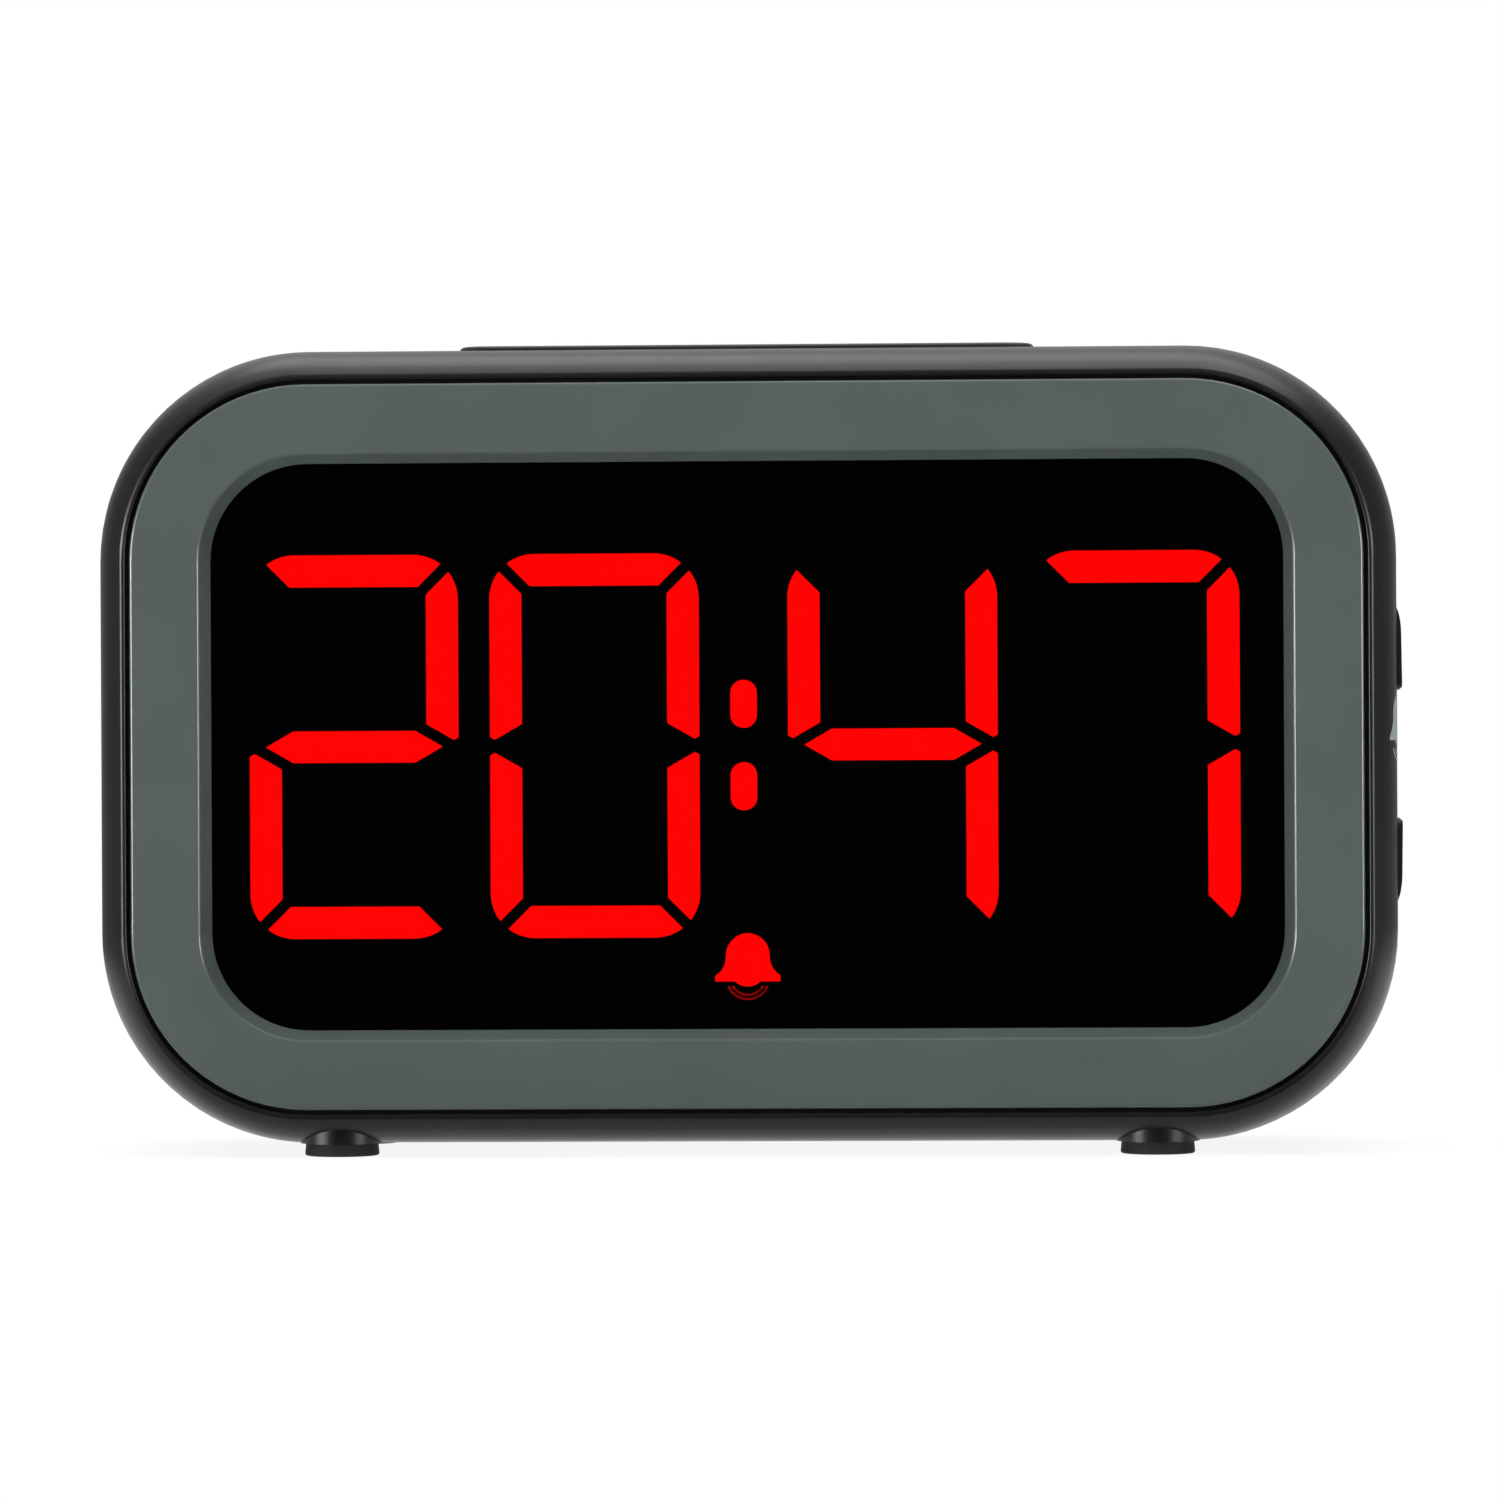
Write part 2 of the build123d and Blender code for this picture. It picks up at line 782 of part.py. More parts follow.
# Snooze bar with its flange under the top wall, its board, switches and screws
top_board = Plane.XY.offset(cavity_top_z - key_drop)
snooze_spots = [(-snooze_stem_x, snooze_y), (snooze_stem_x, snooze_y)]
top_boss_spots = [(-top_boss_x, snooze_y), (top_boss_x, snooze_y)]
with BuildPart() as snooze_bar:
    with BuildSketch(Plane.XY.offset(cavity_top_z - key_flange_gap)):
        with Locations((0, snooze_y)):
            RectangleRounded(snooze_length, snooze_width, snooze_corner)
    extrude(amount=wall + key_flange_gap + snooze_proud)
    fillet(snooze_bar.faces().sort_by(Axis.Z)[-1].edges(), snooze_edge)
    with BuildSketch(Plane.XY.offset(cavity_top_z - key_flange_gap)):
        with Locations((0, snooze_y)):
            RectangleRounded(
                snooze_length + 2 * key_lap,
                snooze_width + 2 * key_lap,
                snooze_corner + key_lap,
            )
    extrude(amount=-key_flange)
    with BuildSketch(Plane.XY.offset(cavity_top_z - key_flange_gap - key_flange)):
        with Locations(*snooze_spots):
            Circle(key_stem_radius)
    extrude(amount=-key_stem)
save(snooze_bar.part, "snooze_bar")
save(plungers(top_board, snooze_spots), "snooze_plungers")
save(switch_bodies(top_board, snooze_spots), "snooze_switches")

with BuildPart() as top_key_board:
    with BuildSketch(top_board):
        with Locations((0, snooze_y)):
            Rectangle(2 * (top_boss_x + key_board_end), snooze_width)
        with Locations(*top_boss_spots):
            Circle(board_screw_radius + hole_gap, mode=Mode.SUBTRACT)
    extrude(amount=-key_board_thickness)
save(top_key_board.part, "top_key_board")

top_screw_seat = Plane(
    origin=(0, 0, cavity_top_z - key_drop - key_board_thickness),
    x_dir=(1, 0, 0),
    z_dir=(0, 0, -1),
)
save(
    screws(
        top_screw_seat,
        [(x, -y) for x, y in top_boss_spots],
        board_head_radius,
        board_screw_radius,
        key_screw_length,
    ),
    "top_key_screws",
)


def alarm_key(rise, lean):
    """Side key: proud at the end by the bell, rounded down at the far end."""
    side = Plane(
        origin=(side_x, side_key_y, centre_height + rise),
        x_dir=(1, 0, 0),
        z_dir=(0, -1, 0),
    )
    root = -wall - key_flange_gap
    near = -lean * side_key_length / 2
    far = lean * side_key_length / 2
    with BuildPart() as key:
        with BuildSketch(side):
            with BuildLine():
                profile = Polyline(
                    (side_key_tail, far),
                    (root, far),
                    (root, near),
                    (side_key_proud - side_key_bevel, near),
                    (side_key_proud, near + lean * side_key_bevel),
                    (side_key_shoulder_share * side_key_proud, far - lean * side_key_fall),
                )
                TangentArc(profile @ 1, profile @ 0, tangent=profile % 1)
            make_face()
        extrude(amount=side_key_width / 2, both=True)
        with BuildSketch(beside(side_x + root)):
            with Locations((side_key_y, rise)):
                RectangleRounded(side_key_width, side_key_length, side_key_corner)
        extrude(amount=side_key_proud - root, mode=Mode.INTERSECT)
        with BuildSketch(beside(side_x + root)):
            with Locations((side_key_y, rise)):
                RectangleRounded(
                    side_key_width + 2 * key_lap,
                    side_key_length + 2 * key_lap,
                    side_key_corner + key_lap,
                )
        extrude(amount=-key_flange)
        with BuildSketch(beside(side_x + root - key_flange)):
            with Locations((side_key_y, rise)):
                Circle(key_stem_radius)
        extrude(amount=-key_stem)
    return key.part


# Alarm keys with their shared board, switches and screws
side_board = beside(cavity_side_x - key_drop)
side_boss_spots = [(side_key_y, side_boss_upper), (side_key_y, side_boss_lower)]
alarm_keys = (("alarm_upper", alarm_upper_rise, 1), ("alarm_lower", alarm_lower_rise, -1))
for key_name, rise, lean in alarm_keys:
    save(alarm_key(rise, lean), f"{key_name}_key")
    save(plungers(side_board, [(side_key_y, rise)]), f"{key_name}_plunger")
save(
    switch_bodies(side_board, [(side_key_y, rise) for _, rise, _ in alarm_keys]),
    "alarm_switches",
)

with BuildPart() as side_key_board:
    with BuildSketch(side_board):
        with Locations((side_key_y, (side_boss_upper + side_boss_lower) / 2)):
            Rectangle(
                side_board_width,
                side_boss_upper - side_boss_lower + 2 * key_board_end,
            )
        with Locations(*side_boss_spots):
            Circle(board_screw_radius + hole_gap, mode=Mode.SUBTRACT)
    extrude(amount=-key_board_thickness)
save(side_key_board.part, "side_key_board")

side_screw_seat = Plane(
    origin=(cavity_side_x - key_drop - key_board_thickness, 0, centre_height),
    x_dir=(0, -1, 0),
    z_dir=(-1, 0, 0),
)
save(
    screws(
        side_screw_seat,
        [(-y, z) for y, z in side_boss_spots],
        board_head_radius,
        board_screw_radius,
        key_screw_length,
    ),
    "side_key_screws",
)

# Rear cover: rounded hollow round four screw posts, then the shell with a tongue for the front housing
with BuildPart() as cover_hollow:
    with BuildSketch(facing(parting_y)):
        outline(wall)
    extrude(amount=-(rear_inner_y - parting_y))
    fillet(cover_hollow.faces().sort_by(Axis.Y)[-1].edges(), rear_round - wall)
    with BuildSketch(facing(parting_y)):
        with Locations(*corners(post_x, post_z)):
            Circle(post_radius)
    extrude(amount=-(rear_inner_y - parting_y), mode=Mode.SUBTRACT)

with BuildPart() as rear_cover:
    with BuildSketch(facing(rear_y)):
        outline(0)
    extrude(amount=rear_y - parting_y)
    fillet(rear_cover.faces().sort_by(Axis.Y)[-1].edges(), rear_round)
    add(cover_hollow.part, mode=Mode.SUBTRACT)
    cover_faces = rear_cover.faces().filter_by(Axis.Y).sort_by(Axis.Y)
    chamfer(cover_faces[0].outer_wire().edges(), parting_bevel)
    with BuildSketch(facing(parting_y)):
        outline(wall)
        outline(wall + tongue_gap + tongue_wall, mode=Mode.SUBTRACT)
    extrude(amount=-tongue_length)
    with BuildSketch(facing(parting_y)):
        outline(wall + tongue_gap)
        outline(wall + tongue_gap + tongue_wall, mode=Mode.SUBTRACT)
        with Locations(*corners(post_x, post_z)):
            Circle(post_radius + post_gap, mode=Mode.SUBTRACT)
    extrude(amount=tongue_length)
    with BuildSketch(Plane.XY.offset(foot_stand)):
        with Locations((-foot_x, rear_crest_y), (foot_x, rear_crest_y)):
            Circle(foot_boss_radius)
    extrude(amount=wall)
    with BuildSketch(Plane.XY.offset(foot_stand)):
        with Locations((-foot_x, rear_crest_y), (foot_x, rear_crest_y)):
            Circle(foot_top_radius + foot_gap)
    extrude(amount=foot_seat_depth, mode=Mode.SUBTRACT)
    # Deep wells for the housing screws, in the posts
    with BuildSketch(facing(parting_y + post_floor)):
        with Locations(*corners(post_x, post_z)):
            Circle(housing_head_radius + well_gap)
    extrude(amount=-(rear_y - parting_y - post_floor), mode=Mode.SUBTRACT)
    with BuildSketch(facing(parting_y)):
        with Locations(*corners(post_x, post_z)):
            Circle(housing_screw_radius + hole_gap)
    extrude(amount=-post_floor, mode=Mode.SUBTRACT)
    # Bosses for the main board
    with BuildSketch(facing(rear_inner_y)):
        with Locations(*corners(main_boss_x, main_boss_z)):
            Circle(boss_radius)
    extrude(amount=rear_inner_y - main_back_y)
    with BuildSketch(facing(main_back_y)):
        with Locations(*corners(main_boss_x, main_boss_z)):
            Circle(board_screw_radius + screw_gap)
    extrude(amount=-(board_screw_length - board_thickness + bore_end), mode=Mode.SUBTRACT)
    # Round cup for the cell, with a low ring that centres it
    with BuildSketch(behind(cup_front_y)):
        with Locations(cell_spot):
            Circle(cup_radius + cup_wall)
    extrude(amount=rear_inner_y - cup_front_y)
    with BuildSketch(behind(cup_floor_y)):
        with Locations(cell_spot):
            Circle(cup_radius)
    extrude(amount=rear_inner_y - cup_floor_y, mode=Mode.SUBTRACT)
    with BuildSketch(behind(cup_floor_y)):
        with Locations(cell_spot):
            Circle(cell_radius + cell_gap + collar_ring)
            Circle(cell_radius + cell_gap, mode=Mode.SUBTRACT)
        with Locations(positive_spot):
            Rectangle(
                2 * collar_ring + 2 * cell_gap,
                contact_width + 2 * contact_slot_gap,
                mode=Mode.SUBTRACT,
            )
    extrude(amount=lug_front_y - collar_drop - cup_floor_y)
    with BuildSketch(behind(cup_floor_y)):
        with Locations(negative_tail_spot, positive_spot):
            Rectangle(
                contact_thickness + 2 * contact_slot_gap,
                contact_width + 2 * contact_slot_gap,
            )
    extrude(amount=-cup_floor, mode=Mode.SUBTRACT)
    # Openings through the back: cap, keys, power inlet and sound holes
    with BuildSketch(behind(rear_y)):
        with Locations(cell_spot):
            Circle(cap_radius + cap_gap)
            with PolarLocations(lug_middle, lug_count, start_angle=cap_turn):
                Rectangle(lug_length + lug_bite + 2 * notch_gap, lug_width + 2 * notch_gap)
        with Locations(set_key_spot, mode_key_spot):
            Circle(rear_key_radius + key_gap)
        with Locations(jack_spot):
            Circle(jack_nose_radius + jack_nose_gap)
        with Locations(sounder_spot):
            Circle(sound_hole_radius)
            for ring in (1, 2):
                with PolarLocations(ring * sound_ring, ring * sound_ring_holes):
                    Circle(sound_hole_radius)
    extrude(amount=-wall, mode=Mode.SUBTRACT)
save(rear_cover.part, "rear_cover")

save(
    screws(
        behind(parting_y + post_floor),
        corners(post_x, post_z),
        housing_head_radius,
        housing_screw_radius,
        housing_screw_length,
    ),
    "housing_screws",
)


def rubber_foot(x, y):
    """Slightly flared rubber foot, seated in its boss."""
    height = foot_stand + foot_seat_depth
    with BuildPart() as foot:
        with Locations((x, y, height / 2)):
            Cone(foot_radius, foot_top_radius, height)
        fillet(foot.faces().sort_by(Axis.Z)[0].edges(), foot_edge)
    return foot.part


for depth_name, foot_y in (("front", crest_y), ("rear", rear_crest_y)):
    for side_name, x in (("left", -foot_x), ("right", foot_x)):
        save(rubber_foot(x, foot_y), f"foot_{depth_name}_{side_name}")

# Main board with its parts on both faces
with BuildPart() as main_board:
    with BuildSketch(facing(main_front_y)):
        RectangleRounded(main_width, main_height, main_round)
        with Locations(*corners(main_boss_x, main_boss_z)):
            Circle(board_screw_radius + hole_gap, mode=Mode.SUBTRACT)
    extrude(amount=-board_thickness)
save(main_board.part, "main_board")

save(
    screws(
        facing(main_front_y),
        corners(main_boss_x, main_boss_z),
        board_head_radius,
        board_screw_radius,
        board_screw_length,
    ),
    "main_board_screws",
)

with BuildPart() as controller_chip:
    with BuildSketch(facing(main_front_y)):
        with Locations(chip_spot):
            Rectangle(chip_side, chip_side)
    extrude(amount=chip_height)
save(controller_chip.part, "controller_chip")

with BuildPart() as quartz_crystal:
    with BuildSketch(facing(main_front_y)):
        with Locations(crystal_spot):
            SlotOverall(crystal_length, crystal_width)
    extrude(amount=crystal_height)
save(quartz_crystal.part, "quartz_crystal")

with BuildPart() as smoothing_capacitors:
    with BuildSketch(facing(main_front_y)):
        with Locations(*capacitor_spots):
            Circle(capacitor_radius)
    extrude(amount=capacitor_height)
    fillet(smoothing_capacitors.faces().sort_by(Axis.Y)[:2].edges(), capacitor_edge)
save(smoothing_capacitors.part, "smoothing_capacitors")

with BuildPart() as voltage_regulator:
    with BuildSketch(facing(main_front_y)):
        with Locations(regulator_spot):
            Rectangle(regulator_length, regulator_width)
    extrude(amount=regulator_height)
save(voltage_regulator.part, "voltage_regulator")

with BuildPart() as sounder:
    with BuildSketch(behind(main_back_y)):
        with Locations(sounder_spot):
            Circle(sounder_radius)
    extrude(amount=sounder_height)
    with BuildSketch(behind(main_back_y + sounder_height)):
        with Locations(sounder_spot):
            Circle(sounder_port_radius)
    extrude(amount=-sounder_port_depth, mode=Mode.SUBTRACT)
save(sounder.part, "sounder")

# Power inlet: block on the main board with a round nose in the back wall
jack_face_y = rear_y - jack_recess
with BuildPart() as power_jack:
    with BuildSketch(behind(main_back_y)):
        with Locations(jack_spot):
            RectangleRounded(jack_side, jack_side, jack_round)
    extrude(amount=rear_inner_y - main_back_y)
    with BuildSketch(behind(rear_inner_y)):
        with Locations(jack_spot):
            Circle(jack_nose_radius)
    extrude(amount=jack_face_y - rear_inner_y)
    with BuildSketch(behind(main_back_y + jack_floor)):
        with Locations(jack_spot):
            Circle(jack_bore_radius)
    extrude(amount=jack_face_y - main_back_y - jack_floor, mode=Mode.SUBTRACT)
save(power_jack.part, "power_jack")

with BuildPart() as power_jack_pin:
    with BuildSketch(behind(main_back_y + jack_floor)):
        with Locations(jack_spot):
            Circle(jack_pin_radius)
    extrude(amount=jack_face_y - main_back_y - jack_floor - jack_pin_set)
    chamfer(power_jack_pin.faces().sort_by(Axis.Y)[-1].edges(), jack_pin_edge)
save(power_jack_pin.part, "power_jack_pin")


def rear_key(spot):
    """Round key in the back wall, with a flange and a stem to its switch."""
    root_y = rear_inner_y - key_flange_gap
    with BuildPart() as key:
        with BuildSketch(behind(root_y)):
            with Locations(spot):
                Circle(rear_key_radius)
        extrude(amount=rear_y - root_y + rear_key_proud)
        fillet(key.faces().sort_by(Axis.Y)[-1].edges(), rear_key_edge)
        with BuildSketch(behind(root_y)):
            with Locations(spot):
                Circle(rear_key_radius + key_lap)
        extrude(amount=-key_flange)
        with BuildSketch(behind(root_y - key_flange)):
            with Locations(spot):
                Circle(key_stem_radius)
        extrude(amount=-rear_key_stem)
    return key.part


for key_name, spot in (("set", set_key_spot), ("mode", mode_key_spot)):
    save(rear_key(spot), f"{key_name}_key")
    save(plungers(behind(main_back_y), [spot]), f"{key_name}_plunger")
save(switch_bodies(behind(main_back_y), [set_key_spot, mode_key_spot]), "rear_switches")

# Back-up cell, its two contacts and its turn-lock cap
with BuildPart() as coin_cell:
    with BuildSketch(behind(cell_front_y)):
        with Locations(cell_spot):
            Circle(cell_radius - cell_step_inset)
    extrude(amount=cell_step)
    with BuildSketch(behind(cell_front_y + cell_step)):
        with Locations(cell_spot):
            Circle(cell_radius)
    extrude(amount=cell_thickness - cell_step)
    fillet(coin_cell.faces().sort_by(Axis.Y)[-1].edges(), cell_edge)
save(coin_cell.part, "coin_cell")

with BuildPart() as cell_spring_contact:
    with BuildSketch(behind(cup_floor_y)):
        with Locations(cell_spot):
            Rectangle(contact_length, contact_width)
    extrude(amount=contact_thickness)
    with BuildSketch(behind(main_back_y)):
        with Locations(negative_tail_spot):
            Rectangle(contact_thickness, contact_width)
    extrude(amount=cup_floor_y - main_back_y)
save(cell_spring_contact.part, "cell_spring_contact")

with BuildPart() as cell_side_contact:
    with BuildSketch(behind(main_back_y)):
        with Locations(positive_spot):
            Rectangle(contact_thickness, contact_width)
    extrude(amount=lug_front_y - collar_drop - main_back_y)
save(cell_side_contact.part, "cell_side_contact")

with BuildPart() as battery_cap:
    with BuildSketch(behind(cap_inner_y)):
        with Locations(cell_spot):
            Circle(cap_radius)
    extrude(amount=cap_thickness)
    fillet(battery_cap.faces().sort_by(Axis.Y)[-1].edges(), cap_edge)
    with BuildSketch(behind(lug_front_y)):
        with Locations(cell_spot):
            Circle(cap_radius)
            Circle(cap_radius - cap_skirt_wall, mode=Mode.SUBTRACT)
    extrude(amount=cap_inner_y - lug_front_y)
    with BuildSketch(behind(lug_front_y)):
        with Locations(cell_spot):
            with PolarLocations(lug_middle, lug_count):
                Rectangle(lug_length + lug_bite, lug_width)
    extrude(amount=lug_thickness)
    with BuildSketch(behind(rear_y)):
        with Locations(cell_spot):
            SlotOverall(coin_slot_length, coin_slot_width)
    extrude(amount=-coin_slot_depth, mode=Mode.SUBTRACT)
save(battery_cap.part, "battery_cap")


def cable_socket(seat, x, rise):
    """Flat-cable socket standing on a board."""
    with BuildPart() as socket:
        with BuildSketch(seat):
            with Locations((x, rise)):
                Rectangle(cable_width + 2 * cable_thickness, socket_width)
        extrude(amount=socket_height)
    return socket.part


def flat_cable(plane, route, bend, width):
    """Flat cable with rounded bends along a route drawn on a plane."""
    with BuildPart() as cable:
        with BuildSketch(plane):
            with BuildLine():
                FilletPolyline(*route, radius=bend)
            trace(line_width=cable_thickness)
        extrude(amount=width / 2, both=True)
    return cable.part


# Flat cable between the boards, bent twice, and short cables from the key boards
display_socket_y = display_back_y + socket_height
main_socket_y = main_front_y - socket_height
cable_middle_y = (display_socket_y + main_socket_y) / 2
cable_radius = cable_bend_share * (main_socket_y - cable_middle_y)
save(cable_socket(behind(display_back_y), -cable_x, cable_upper_rise), "display_socket")
save(cable_socket(facing(main_front_y), cable_x, cable_lower_rise), "main_socket")

board_route = (
    (display_socket_y, cable_upper_rise),
    (cable_middle_y, cable_upper_rise),
    (cable_middle_y, cable_lower_rise),
    (main_socket_y, cable_lower_rise),
)
save(flat_cable(beside(cable_x), board_route, cable_radius, cable_width), "board_cable")

top_cable_y = snooze_y + snooze_width / 2 - top_cable_inset
top_cable_start = cavity_top_z - key_drop - key_board_thickness - centre_height
top_cable_back_y = top_cable_y + top_cable_back_share * (main_front_y - top_cable_y)
top_cable_rise = top_cable_rise_share * main_height
top_route = (
    (top_cable_y, top_cable_start),
    (top_cable_y, top_cable_start - top_cable_drop),
    (top_cable_back_y, top_cable_start - top_cable_drop),
    (top_cable_back_y, top_cable_rise),
    (main_front_y, top_cable_rise),
)
save(
    flat_cable(beside(top_cable_x), top_route, key_cable_radius, key_cable_width),
    "top_key_cable",
)

side_cable_x = cavity_side_x - key_drop - key_board_thickness
side_cable_y = side_key_y + side_board_width / 2 - side_cable_inset
side_route = (
    (side_cable_x, side_cable_y),
    (side_cable_x - side_cable_reach, side_cable_y),
    (side_cable_x - side_cable_reach, display_y),
)
side_cable_plane = Plane.XY.offset(centre_height + (alarm_upper_rise + alarm_lower_rise) / 2)
save(
    flat_cable(side_cable_plane, side_route, key_cable_radius, key_cable_width),
    "side_key_cable",
)
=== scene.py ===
import json
from math import asin, cos, radians, sin, sqrt

import bmesh
import bpy
from mathutils import Matrix, Vector


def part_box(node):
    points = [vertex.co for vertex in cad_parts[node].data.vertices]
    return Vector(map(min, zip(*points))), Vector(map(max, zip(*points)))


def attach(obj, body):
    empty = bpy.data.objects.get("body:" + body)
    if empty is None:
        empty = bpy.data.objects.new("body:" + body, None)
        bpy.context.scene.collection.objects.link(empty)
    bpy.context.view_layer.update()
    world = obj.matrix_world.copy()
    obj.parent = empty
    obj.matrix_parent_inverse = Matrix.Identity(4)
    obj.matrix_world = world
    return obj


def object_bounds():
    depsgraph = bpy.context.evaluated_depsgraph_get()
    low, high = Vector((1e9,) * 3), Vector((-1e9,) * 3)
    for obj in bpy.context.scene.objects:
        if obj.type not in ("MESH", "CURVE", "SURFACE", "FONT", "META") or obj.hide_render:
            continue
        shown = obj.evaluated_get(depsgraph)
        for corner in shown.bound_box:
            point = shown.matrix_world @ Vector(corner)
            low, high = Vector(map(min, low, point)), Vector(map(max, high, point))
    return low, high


# Looks of a digital LED desk clock, in metres. The dial faces -Y, +X is to the viewer's right, +Z is up.
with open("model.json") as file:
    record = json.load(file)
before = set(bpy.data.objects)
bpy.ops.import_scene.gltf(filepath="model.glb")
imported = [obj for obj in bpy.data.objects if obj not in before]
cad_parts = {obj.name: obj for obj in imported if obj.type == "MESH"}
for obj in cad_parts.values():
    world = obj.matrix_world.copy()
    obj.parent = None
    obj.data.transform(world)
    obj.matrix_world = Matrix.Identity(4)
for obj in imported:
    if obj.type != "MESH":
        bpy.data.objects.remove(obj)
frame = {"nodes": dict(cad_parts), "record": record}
cad_low, cad_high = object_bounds()
nodes = frame["nodes"]
MM = 0.001

# Places read from the frame
housing_low, housing_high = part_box("front_housing")
frame_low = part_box("front_frame")[0]
bell_low, bell_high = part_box("bell_light")
face_y = frame_low.y
side_x = housing_high.x
centre_z = (housing_low.z + housing_high.z) / 2

# Camera of the photograph: its side in pixels, the size of a pixel at the dial, and the view
IMAGE_SIDE = 1500
PIXEL = 0.11812 * MM
SENSOR_WIDTH = 36.0
CAMERA_DISTANCE = 0.8
CAMERA_NEAR = 0.01
CAMERA_AZIMUTH = radians(2.2)
CAMERA_ROLL = radians(-0.298)
VIEW_OFFSET_X = 0.6 * MM
VIEW_OFFSET_Z = -0.6 * MM

# Screen colours: top of a channel, end and slope of the curve's straight part, offset and power of the rest
CHANNEL_TOP = 255
STRAIGHT_END = 0.04045
STRAIGHT_SLOPE = 12.92
CURVE_OFFSET = 0.055
CURVE_POWER = 2.4
WHITE = (1.0, 1.0, 1.0, 1.0)

# Patches on each kind of surface: their size, and how far tone, gloss or glow goes up and down
PLASTIC_TONE = (18 * MM, 0.05)
PLASTIC_GLOSS = (7 * MM, 0.04)
METAL_TONE = (3 * MM, 0.08)
WINDOW_TONE = (30 * MM, 0.01)
WINDOW_GLOSS = (12 * MM, 0.01)
LIT_TONE = (4 * MM, 0.1)
LIT_GLOSS = (2 * MM, 0.05)
LIT_GLOW = (5 * MM, 0.05)
BOARD_GLOSS = (6 * MM, 0.05)
WIRE_GLOSS = (4 * MM, 0.05)

# Heights of the noise where a patch is darkest and lightest, and its detail
PATCH_ENDS = (0.3, 0.7)
PATCH_DETAIL = 2.0

# Plastic, rubber, foam and ink: screen colour, roughness, size and depth of the grain, and specular level
PLASTICS = {
    "housing_black": ((25, 25, 26), 0.33, 0.2 * MM, 0.002 * MM, 0.5),
    "frame_grey": ((84, 94, 93), 0.24, 0.15 * MM, 0.0006 * MM, 1.0),
    "key_black": ((29, 29, 30), 0.38, 0.2 * MM, 0.003 * MM, 0.5),
    "foot_rubber": ((50, 49, 47), 0.7, 0.3 * MM, 0.01 * MM, 0.3),
    "gasket_foam": ((30, 30, 30), 0.95, 0.4 * MM, 0.05 * MM, 0.2),
    "block_black": ((5, 5, 5), 0.8, 0.2 * MM, 0.004 * MM, 0.02),
    "segment_unlit": ((10, 4, 4), 0.8, 0.3 * MM, 0.004 * MM, 0.02),
    "led_body": ((226, 215, 182), 0.3, 0.3 * MM, 0.004 * MM, 0.5),
    "component_black": ((26, 26, 27), 0.5, 0.25 * MM, 0.006 * MM, 0.5),
    "plunger_white": ((228, 227, 222), 0.35, 0.3 * MM, 0.004 * MM, 0.5),
    "socket_white": ((232, 230, 220), 0.45, 0.3 * MM, 0.006 * MM, 0.5),
    "print_ink": ((142, 152, 151), 0.55, 0.12 * MM, 0.003 * MM, 0.5),
}

# Metal: screen colour, roughness and size of its marks, and what all metal shares
METALS = {
    "screw_steel": ((186, 186, 188), 0.36, 0.4 * MM),
    "capacitor_can": ((196, 198, 202), 0.4, 0.5 * MM),
    "crystal_can": ((214, 214, 212), 0.25, 0.5 * MM),
    "pin_nickel": ((214, 208, 198), 0.22, 0.4 * MM),
    "cell_steel": ((212, 212, 208), 0.3, 0.5 * MM),
}
MARK_SPREAD = 0.08
MARK_DETAIL = 4.0
MARK_DEPTH = 0.002 * MM

# Smoked window
WINDOW_SMOKE = (178, 176, 176)
WINDOW_ROUGHNESS = 0.02
ACRYLIC_IOR = 1.49

# Lit resin, and the lit bell's arcs, which lie low in its height and glow less
LIT_RED = (1.0, 0.0, 0.0, 1.0)
LIT_STRENGTH = 2.8
LIT_BASE_SHADE = 0.6
LIT_GLOW_SHADE = 0.95
LIT_ROUGHNESS = 0.35
LIT_ARC_GLOW = 0.18
LIT_ARC_END = 0.185
LIT_BELL_START = 0.215

# Circuit boards: distance between tracks, share of it from a track's middle to its edge, relief and colours
TRACK_PITCH = 4 * MM
TRACK_EDGE = 0.09
TRACK_RELIEF = 0.02 * MM
TRACK_GREEN = (58, 124, 74)
MASK_GREEN = (20, 72, 40)
BOARD_ROUGHNESS = 0.35

# Flat cables: scale of the wave that makes their ribs, relief and colour
WIRE_WAVE = 3.2 * MM
WIRE_RELIEF = 0.1 * MM
WIRE_GREY = (178, 178, 176)
WIRE_SPREAD = 0.15
WIRE_ROUGHNESS = 0.5

# Front rounding of the housing, where the side print bends over it, and its crest behind the frame's face
FRONT_ROUND = 8.0 * MM
CREST_SET = 6.7 * MM
CREST_Y = face_y + CREST_SET

# Printed bell on the right side: lift over the plastic, place on the side, and fineness of its mesh
PRINT_LIFT = 0.02 * MM
PRINT_RISE = 0.17 * MM
PRINT_SET = -0.85 * MM
PRINT_JOIN = 0.001 * MM
PRINT_ROWS = 40
PRINT_COLUMNS = 24

# Its outline: half widths at rim and waist, heights over its base, and power of the crown's curve
BELL_HALF = 3.4 * MM
BELL_WAIST = 2.4 * MM
BELL_RIM = 0.4 * MM
BELL_FLARE = 2.9 * MM
BELL_SHOULDER = 3.1 * MM
BELL_TOP = 5.45 * MM
BELL_CROWN = 2.2
CLAPPER_HALF = 1.5 * MM
CLAPPER_DROP = 0.7 * MM

# Its sound arcs: drop of their ends under its base, thickness, and half width and sag of each
ARC_DROP = 1.0 * MM
ARC_LINE = 0.34 * MM
INNER_ARC = (1.5 * MM, 0.7 * MM)
OUTER_ARC = (2.3 * MM, 1.45 * MM)
ARC_STEPS = 24

